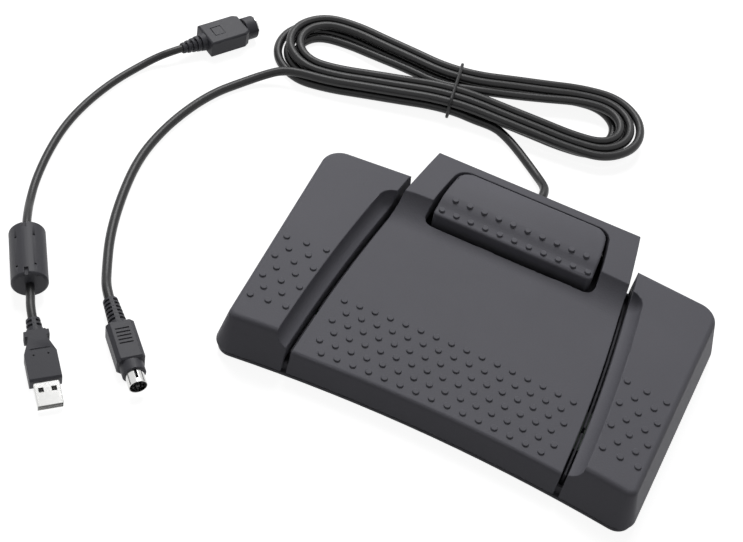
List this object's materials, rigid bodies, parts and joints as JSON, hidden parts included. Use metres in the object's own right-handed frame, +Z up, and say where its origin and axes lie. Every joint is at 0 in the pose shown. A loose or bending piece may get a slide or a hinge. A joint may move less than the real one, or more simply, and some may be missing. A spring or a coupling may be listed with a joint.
{
  "type": "usb foot pedal switch",
  "caption": "Low foot switch with side, centre and upper tipping pedals on a weighted tray, its signal lead in a tied hank with a mini plug, and a separate adapter lead with a flat plug.",
  "frame": {"origin": "on the floor under the middle of the pedal unit", "axes": "+X to the right as the foot sees it, +Y away from the foot towards the leads, +Z up"},
  "size_m": [0.3588, 0.35, 0.0289],
  "materials": {
    "pedal_plastic": "dark charcoal plastic with a fine grain",
    "tray_plastic": "dark plastic, fine grain",
    "lead_rubber": "black, satin",
    "plug_plastic": "black moulded plastic, satin",
    "tie_plastic": "black",
    "chrome_plate": "bright plated",
    "steel_plate": "rolled, plain",
    "pin_steel": "ground",
    "screw_steel": "plated",
    "spring_steel": "bright wire",
    "board_laminate": "green lacquer",
    "switch_plastic": "black",
    "dome_rubber": "grey, translucent look",
    "contact_plastic": "black, fine",
    "tongue_plastic": "pale insert",
    "foot_rubber": "black, matt",
    "ferrite": "dark sintered"
  },
  "bodies": {
    "base": {"base_tray": "tray_plastic", "rubber_feet": "foot_rubber", "hinge_pins": "pin_steel", "spring_centre": "spring_steel", "spring_right": "spring_steel", "spring_left": "spring_steel", "spring_upper": "spring_steel", "circuit_board": "board_laminate", "board_screws": "screw_steel", "ballast_screws": "screw_steel", "ballast_plates": "steel_plate", "switch_housings": "switch_plastic", "dome_left": "dome_rubber", "dome_centre": "dome_rubber", "dome_right": "dome_rubber", "dome_upper": "dome_rubber", "board_parts": "contact_plastic", "cable_gland": "lead_rubber", "inner_lead": "lead_rubber", "cord_hank": "lead_rubber", "hank_tie": "tie_plastic", "cord_tail": "lead_rubber", "cord_lead": "lead_rubber", "din_plug_relief": "plug_plastic", "din_plug_body": "plug_plastic", "din_plug_barrel": "chrome_plate", "din_plug_insert": "contact_plastic", "socket_relief": "plug_plastic", "socket_body": "plug_plastic", "socket_ring": "chrome_plate", "socket_insert": "contact_plastic", "ferrite_cover": "plug_plastic", "ferrite_core": "ferrite", "usb_plug_relief": "plug_plastic", "usb_plug_body": "plug_plastic", "usb_plug_shell": "chrome_plate", "usb_plug_tongue": "tongue_plastic", "adapter_cord_upper": "lead_rubber", "adapter_cord_lower": "lead_rubber"},
    "left": {"pedal_left": "pedal_plastic"},
    "right": {"pedal_right": "pedal_plastic"},
    "centre": {"pedal_centre": "pedal_plastic"},
    "upper": {"pedal_upper": "pedal_plastic"}
  },
  "joints": [
    {"name": "centre_tip", "type": "hinge", "parent": "base", "child": "centre", "pos_m": [0, 0.072, 0.009], "axis": [1, 0, 0], "range_deg": [0, 0.55], "stiffness_Nm_per_rad": 30, "springref_deg": -1.15, "deforming": ["spring_centre", "dome_centre"]},
    {"name": "left_tip", "type": "hinge", "parent": "base", "child": "left", "pos_m": [-0.088, 0.044, 0.009], "axis": [1, 0, 0], "range_deg": [0, 0.65], "stiffness_Nm_per_rad": 20, "springref_deg": -1.43, "deforming": ["spring_left", "dome_left"]},
    {"name": "right_tip", "type": "hinge", "parent": "base", "child": "right", "pos_m": [0.088, 0.044, 0.009], "axis": [1, 0, 0], "range_deg": [0, 0.65], "stiffness_Nm_per_rad": 20, "springref_deg": -1.43, "deforming": ["spring_right", "dome_right"]},
    {"name": "upper_tip", "type": "hinge", "parent": "base", "child": "upper", "pos_m": [0, 0.0658, 0.0215], "axis": [1, 0, 0], "range_deg": [0, 5.5], "stiffness_Nm_per_rad": 1, "springref_deg": -5.73, "deforming": ["spring_upper", "dome_upper"]}
  ]
}
